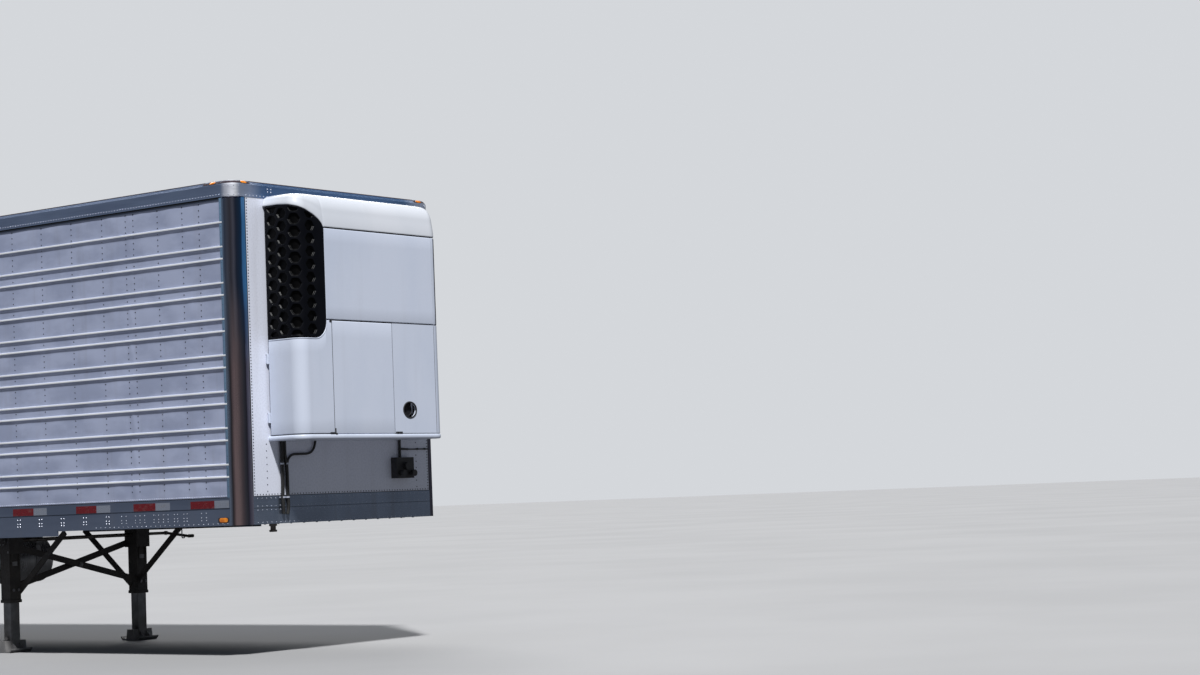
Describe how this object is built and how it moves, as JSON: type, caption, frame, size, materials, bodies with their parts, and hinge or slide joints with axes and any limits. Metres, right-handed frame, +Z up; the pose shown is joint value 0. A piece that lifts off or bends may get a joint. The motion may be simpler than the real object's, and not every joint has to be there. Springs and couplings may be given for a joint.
{
  "type": "semi trailer",
  "caption": "Long refrigerated box semi trailer with ribbed sides, a cooling unit on its front wall, swing rear doors, an air-sprung tandem of twin wheels and landing legs.",
  "frame": {"origin": "on the ground, under the middle of the whole trailer", "axes": "+X forward, towards the cooling unit and the towing vehicle; +Y to the left, the road side; +Z up"},
  "size_m": [16.638, 2.591, 4.1098],
  "materials": {
    "white_panel": "smooth white coat, lightly soiled",
    "silver_sheet": "thin pressed aluminium sheet, satin",
    "slate_rail": "extruded aluminium, dull",
    "polished_steel": "polished stainless steel",
    "bright_steel": "stainless steel plate",
    "black_steel": "black chassis paint",
    "machined_steel": "greased machined steel",
    "galvanised": "zinc coated steel",
    "floor_metal": "grooved extruded aluminium",
    "liner": "white liner",
    "grille_black": "moulded black plastic",
    "tyre_rubber": "black tread rubber",
    "wheel_metal": "white grey wheel enamel",
    "tank_metal": "brushed aluminium tank",
    "flap_rubber": "black rubber sheet",
    "hose_rubber": "black rubber hose",
    "amber_lens": "amber lens",
    "red_lens": "red lens",
    "engine_iron": "grey cast iron",
    "connector_black": "black housing"
  },
  "bodies": {
    "trailer": {"side_wall_curb": "silver_sheet", "side_wall_road": "silver_sheet", "front_wall": "white_panel", "front_kick_plate": "bright_steel", "corner_posts": "polished_steel", "front_header": "slate_rail", "top_rails": "slate_rail", "base_rails": "slate_rail", "roof_panel": "white_panel", "floor_panel": "floor_metal", "air_bulkhead": "liner", "crossmembers": "galvanised", "coupler_plate": "black_steel", "kingpin": "machined_steel", "landing_legs": "black_steel", "landing_inner_legs": "galvanised", "landing_drive": "machined_steel", "slider_rails": "black_steel", "bogie_frame": "black_steel", "suspension_arms": "black_steel", "air_springs": "flap_rubber", "shock_absorbers": "black_steel", "axle_beams": "black_steel", "air_tanks": "black_steel", "mudflaps": "flap_rubber", "mudflap_hangers": "galvanised", "rear_guard": "galvanised", "rear_frame": "bright_steel", "hinge_butts": "galvanised", "rod_keepers": "galvanised", "marker_lamps": "amber_lens", "tail_lamps": "red_lens", "unit_tray": "white_panel", "unit_cap": "white_panel", "unit_grilles": "grille_black", "unit_upper_panel": "white_panel", "unit_centre_panel": "white_panel", "unit_chassis": "black_steel", "unit_engine": "engine_iron", "unit_hoses": "hose_rubber", "nose_connectors": "connector_black", "fuel_tank": "tank_metal", "fuel_tank_straps": "galvanised"},
    "rear_door_curb": {"rear_door_curb": "white_panel", "door_hardware_curb": "galvanised"},
    "rear_door_road": {"rear_door_road": "white_panel", "door_hardware_road": "galvanised"},
    "unit_door_curb": {"unit_door_curb": "white_panel"},
    "unit_door_road": {"unit_door_road": "white_panel"},
    "wheels_front_curb": {"tyres_front_curb": "tyre_rubber", "wheel_front_curb": "wheel_metal"},
    "wheels_front_road": {"tyres_front_road": "tyre_rubber", "wheel_front_road": "wheel_metal"},
    "wheels_rear_curb": {"tyres_rear_curb": "tyre_rubber", "wheel_rear_curb": "wheel_metal"},
    "wheels_rear_road": {"tyres_rear_road": "tyre_rubber", "wheel_rear_road": "wheel_metal"}
  },
  "joints": [
    {"name": "rear_door_curb_hinge", "type": "hinge", "parent": "trailer", "child": "rear_door_curb", "pos_m": [-8.305, -1.281, 2.68], "axis": [0, 0, 1], "range_deg": [0, 270]},
    {"name": "unit_door_curb_hinge", "type": "hinge", "parent": "trailer", "child": "unit_door_curb", "pos_m": [7.923, -0.932, 2.3], "axis": [0, 0, -1], "range_deg": [0, 85]},
    {"name": "rear_door_road_hinge", "type": "hinge", "parent": "trailer", "child": "rear_door_road", "pos_m": [-8.305, 1.281, 2.68], "axis": [0, 0, -1], "range_deg": [0, 270]},
    {"name": "unit_door_road_hinge", "type": "hinge", "parent": "trailer", "child": "unit_door_road", "pos_m": [7.923, 0.932, 2.3], "axis": [0, 0, 1], "range_deg": [0, 85]},
    {"name": "wheels_front_curb_spin", "type": "hinge", "parent": "trailer", "child": "wheels_front_curb", "pos_m": [-4.996, -0.9835, 0.514], "axis": [0, 1, 0], "continuous": true},
    {"name": "wheels_front_road_spin", "type": "hinge", "parent": "trailer", "child": "wheels_front_road", "pos_m": [-4.996, 0.9835, 0.514], "axis": [0, 1, 0], "continuous": true},
    {"name": "wheels_rear_curb_spin", "type": "hinge", "parent": "trailer", "child": "wheels_rear_curb", "pos_m": [-6.241, -0.9835, 0.514], "axis": [0, 1, 0], "continuous": true},
    {"name": "wheels_rear_road_spin", "type": "hinge", "parent": "trailer", "child": "wheels_rear_road", "pos_m": [-6.241, 0.9835, 0.514], "axis": [0, 1, 0], "continuous": true}
  ]
}
